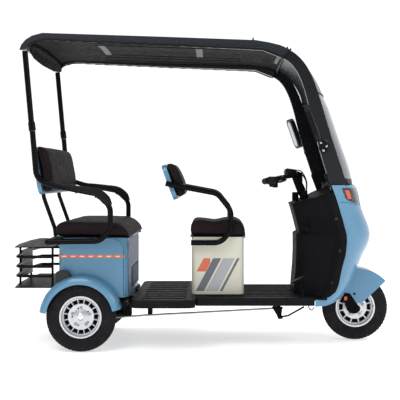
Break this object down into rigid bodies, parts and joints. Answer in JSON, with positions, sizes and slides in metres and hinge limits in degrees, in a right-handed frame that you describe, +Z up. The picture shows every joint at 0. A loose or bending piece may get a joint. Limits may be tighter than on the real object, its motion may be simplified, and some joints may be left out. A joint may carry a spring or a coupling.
{
  "type": "electric passenger tricycle with canopy (auto rickshaw)",
  "caption": "Three-wheeled open electric rickshaw: canopy on posts and a bowed windscreen, driver's seat on a box, passenger bench with armrests, steered front wheel, wire rear basket.",
  "frame": {"origin": "floor level under the middle of the vehicle's length and width", "axes": "+X forward along the vehicle, +Y to the driver's left, +Z up"},
  "size_m": [2.0456, 1.0762, 1.675],
  "materials": {
    "black_steel": "gloss",
    "cast_metal": "matte",
    "black_plastic": "satin",
    "blue_paint": "gloss",
    "seat_leather": "satin",
    "soft_rubber": "matte",
    "cream_plastic": "satin",
    "slate_gloss": "gloss",
    "lamp_red": "gloss",
    "clear_lens": "gloss",
    "clear_screen": "gloss",
    "bright_steel": "polished",
    "tyre": "matte",
    "alloy": "satin"
  },
  "bodies": {
    "root": {"rear_axle": "black_steel", "drive_motor": "cast_metal", "trailing_arms": "black_steel", "shock_absorbers": "black_steel", "shock_towers": "black_steel", "chassis_frame": "black_steel", "rear_floor": "black_plastic", "front_floor": "black_plastic", "rear_box": "blue_paint", "bench_back_cushion": "seat_leather", "bench_back_shell": "blue_paint", "bench_posts": "black_steel", "armrest_frames": "black_steel", "armrest_pads": "soft_rubber", "rear_pillars": "black_steel", "driver_box": "cream_plastic", "battery": "black_plastic", "driver_back_cushion": "seat_leather", "driver_back_shell": "blue_paint", "driver_seat_frame": "black_steel", "rear_fenders": "blue_paint", "tail_lamps": "lamp_red", "basket": "black_steel", "plate_panel": "black_plastic", "front_shield": "blue_paint", "headlamps": "clear_lens", "lamp_housings": "black_plastic", "inner_cowl": "black_plastic", "dash_panel": "black_plastic", "screen_base": "black_plastic", "front_pillars": "black_plastic", "windscreen": "clear_screen", "roof_visor": "slate_gloss", "roof_shell": "slate_gloss", "roof_liner": "black_plastic", "mirrors": "black_plastic", "brake_pedal": "black_steel", "brake_rod": "black_steel"},
    "steering": {"steering_fork": "black_steel", "front_axle": "bright_steel", "handlebar": "black_steel", "grips": "soft_rubber", "front_fender": "blue_paint"},
    "front_wheel": {"front_tyre": "tyre", "front_rim": "alloy"},
    "rear_wheel_left": {"rear_tyre_left": "tyre", "rear_rim_left": "alloy"},
    "rear_wheel_right": {"rear_tyre_right": "tyre", "rear_rim_right": "alloy"},
    "driver_lid": {"driver_board": "black_plastic", "driver_cushion": "seat_leather"},
    "bench_lid": {"bench_board": "black_plastic", "bench_cushion": "seat_leather"}
  },
  "joints": [
    {"name": "steering", "type": "hinge", "parent": "root", "child": "steering", "pos_m": [0.82084, 0, 0.17569], "axis": [-0.3907, 0, 0.9205], "range_deg": [-30, 30]},
    {"name": "front_wheel_spin", "type": "hinge", "parent": "steering", "child": "front_wheel", "pos_m": [0.83925, 0, 0.1835], "axis": [0, 1, 0], "continuous": true},
    {"name": "rear_wheel_left_spin", "type": "hinge", "parent": "root", "child": "rear_wheel_left", "pos_m": [-0.64875, 0.329, 0.1835], "axis": [0, 1, 0], "continuous": true},
    {"name": "rear_wheel_right_spin", "type": "hinge", "parent": "root", "child": "rear_wheel_right", "pos_m": [-0.64875, -0.329, 0.1835], "axis": [0, 1, 0], "continuous": true},
    {"name": "driver_seat_lid", "type": "hinge", "parent": "root", "child": "driver_lid", "pos_m": [0.216, 0, 0.584], "axis": [0, 1, 0], "range_deg": [0, 70]},
    {"name": "bench_seat_lid", "type": "hinge", "parent": "root", "child": "bench_lid", "pos_m": [-0.393, 0, 0.593], "axis": [0, 1, 0], "range_deg": [0, 80]}
  ]
}
